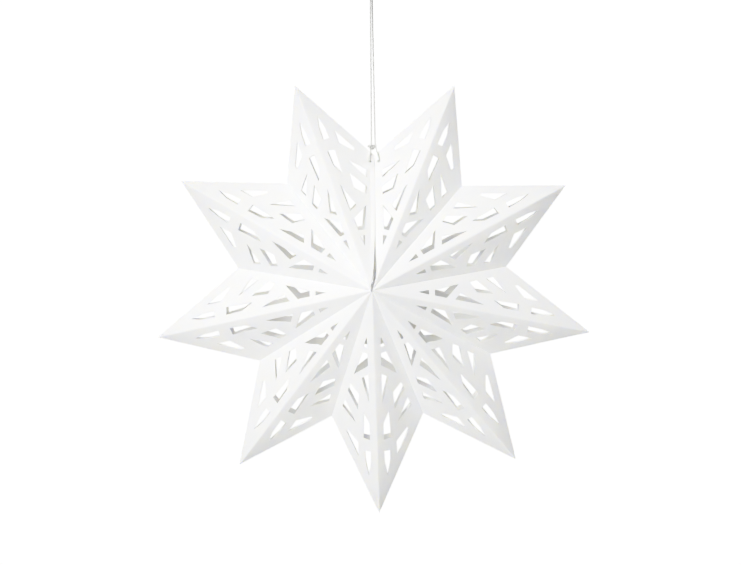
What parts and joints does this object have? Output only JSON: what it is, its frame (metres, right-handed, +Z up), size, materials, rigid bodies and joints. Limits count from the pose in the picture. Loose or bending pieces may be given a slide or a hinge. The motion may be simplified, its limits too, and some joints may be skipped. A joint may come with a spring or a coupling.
{
  "type": "paper star decoration",
  "caption": "Folded white paper star with slotted snowflake cut-outs in every panel, glued along its valleys, tied shut at the top by the string that hangs it.",
  "frame": {"origin": "the place where the loop of string bears on its hook", "axes": "+Z up along the string, +X to the right, the front face of the star looks along -Y"},
  "size_m": [0.4432, 0.1352, 0.5415],
  "materials": {
    "paper": "matte uncoated card",
    "string": "twisted white cotton"
  },
  "bodies": {
    "root": {"paper_point_1": "paper", "paper_point_2": "paper", "paper_point_3": "paper", "paper_point_4": "paper", "paper_point_5": "paper", "paper_point_6": "paper", "paper_point_7": "paper", "paper_point_8": "paper", "paper_point_9": "paper", "hanging_cord": "string"}
  },
  "joints": []
}
